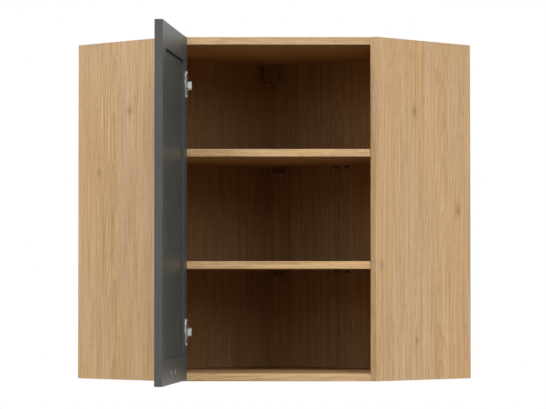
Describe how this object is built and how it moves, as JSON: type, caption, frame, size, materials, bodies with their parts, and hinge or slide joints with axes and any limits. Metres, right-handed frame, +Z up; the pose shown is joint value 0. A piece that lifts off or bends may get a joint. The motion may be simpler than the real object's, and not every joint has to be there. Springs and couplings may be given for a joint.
{
  "type": "corner wall cabinet",
  "caption": "Diagonal corner wall cabinet in oak decor with two loose shelves and a framed graphite door on concealed hinges, opening from its left edge.",
  "frame": {"origin": "on the underside of the bottom board, on the plane of symmetry of the cabinet, level with the lines where the side panels meet the walls", "axes": "+Z up, +Y towards the room corner, -Y out of the front opening, +X to the right as seen from the front"},
  "size_m": [0.8476, 1.0548, 0.72],
  "materials": {
    "oak_decor_board": "satin printed oak decor with fine upright grain",
    "oak_decor_hardboard": "thin hardboard with the same oak print, smooth",
    "graphite_door": "matt graphite decor on a framed door",
    "nickel_steel": "nickel plated pressed steel, softly bright",
    "zinc_steel": "zinc plated steel",
    "black_steel": "blackened steel screws",
    "brown_plastic": "moulded brown plastic, fine grain",
    "grey_plastic": "moulded grey plastic"
  },
  "bodies": {
    "carcass": {"bottom_board": "oak_decor_board", "corner_block": "oak_decor_board", "corner_block_screw_left": "black_steel", "corner_block_screw_right": "black_steel", "left_back_panel": "oak_decor_hardboard", "left_hanger_depth_screw": "zinc_steel", "left_hanger_height_screw": "zinc_steel", "left_hanger_hook": "zinc_steel", "left_hanger_housing": "brown_plastic", "left_side_panel": "oak_decor_board", "lower_hinge_arm": "nickel_steel", "lower_hinge_arm_screw": "nickel_steel", "lower_hinge_plate": "nickel_steel", "lower_hinge_plate_screw_lower": "nickel_steel", "lower_hinge_plate_screw_upper": "nickel_steel", "lower_shelf": "oak_decor_board", "lower_shelf_corner_support": "brown_plastic", "lower_shelf_pin_back_1": "brown_plastic", "lower_shelf_pin_back_2": "brown_plastic", "lower_shelf_pin_left_front": "brown_plastic", "lower_shelf_pin_left_rear": "brown_plastic", "lower_shelf_pin_right_front": "brown_plastic", "lower_shelf_pin_right_rear": "brown_plastic", "right_back_panel": "oak_decor_board", "right_hanger_depth_screw": "zinc_steel", "right_hanger_height_screw": "zinc_steel", "right_hanger_hook": "zinc_steel", "right_hanger_housing": "brown_plastic", "right_side_panel": "oak_decor_board", "top_board": "oak_decor_board", "upper_hinge_arm": "nickel_steel", "upper_hinge_arm_screw": "nickel_steel", "upper_hinge_plate": "nickel_steel", "upper_hinge_plate_screw_lower": "nickel_steel", "upper_hinge_plate_screw_upper": "nickel_steel", "upper_shelf": "oak_decor_board", "upper_shelf_corner_support": "brown_plastic", "upper_shelf_pin_back_1": "brown_plastic", "upper_shelf_pin_back_2": "brown_plastic", "upper_shelf_pin_left_front": "brown_plastic", "upper_shelf_pin_left_rear": "brown_plastic", "upper_shelf_pin_right_front": "brown_plastic", "upper_shelf_pin_right_rear": "brown_plastic"},
    "door": {"door_bottom_rail": "graphite_door", "door_centre_panel": "graphite_door", "door_free_stile": "graphite_door", "door_hinge_stile": "graphite_door", "door_top_rail": "graphite_door", "handle_hole_plug_1": "grey_plastic", "handle_hole_plug_2": "grey_plastic", "lower_hinge_cup": "nickel_steel", "lower_hinge_cup_screw_lower": "nickel_steel", "lower_hinge_cup_screw_upper": "nickel_steel", "upper_hinge_cup": "nickel_steel", "upper_hinge_cup_screw_lower": "nickel_steel", "upper_hinge_cup_screw_upper": "nickel_steel"},
    "lower_link": {"lower_hinge_link": "nickel_steel"},
    "upper_link": {"upper_hinge_link": "nickel_steel"}
  },
  "joints": [
    {"name": "door", "type": "hinge", "parent": "carcass", "child": "door", "pos_m": [-0.19672, -0.22909, 0.36], "axis": [0, 0, 1], "range_deg": [0, 94.9]},
    {"name": "lower_link", "type": "hinge", "parent": "door", "child": "lower_link", "pos_m": [-0.18616, -0.23072, 0.103], "axis": [0, 0, 1], "range_deg": [-136.9, 0]},
    {"name": "upper_link", "type": "hinge", "parent": "door", "child": "upper_link", "pos_m": [-0.18616, -0.23072, 0.617], "axis": [0, 0, 1], "range_deg": [-136.9, 0]}
  ],
  "couplings": [
    {"joint": "lower_link", "follows": "door", "ratio": -1.4418},
    {"joint": "upper_link", "follows": "door", "ratio": -1.4418}
  ]
}
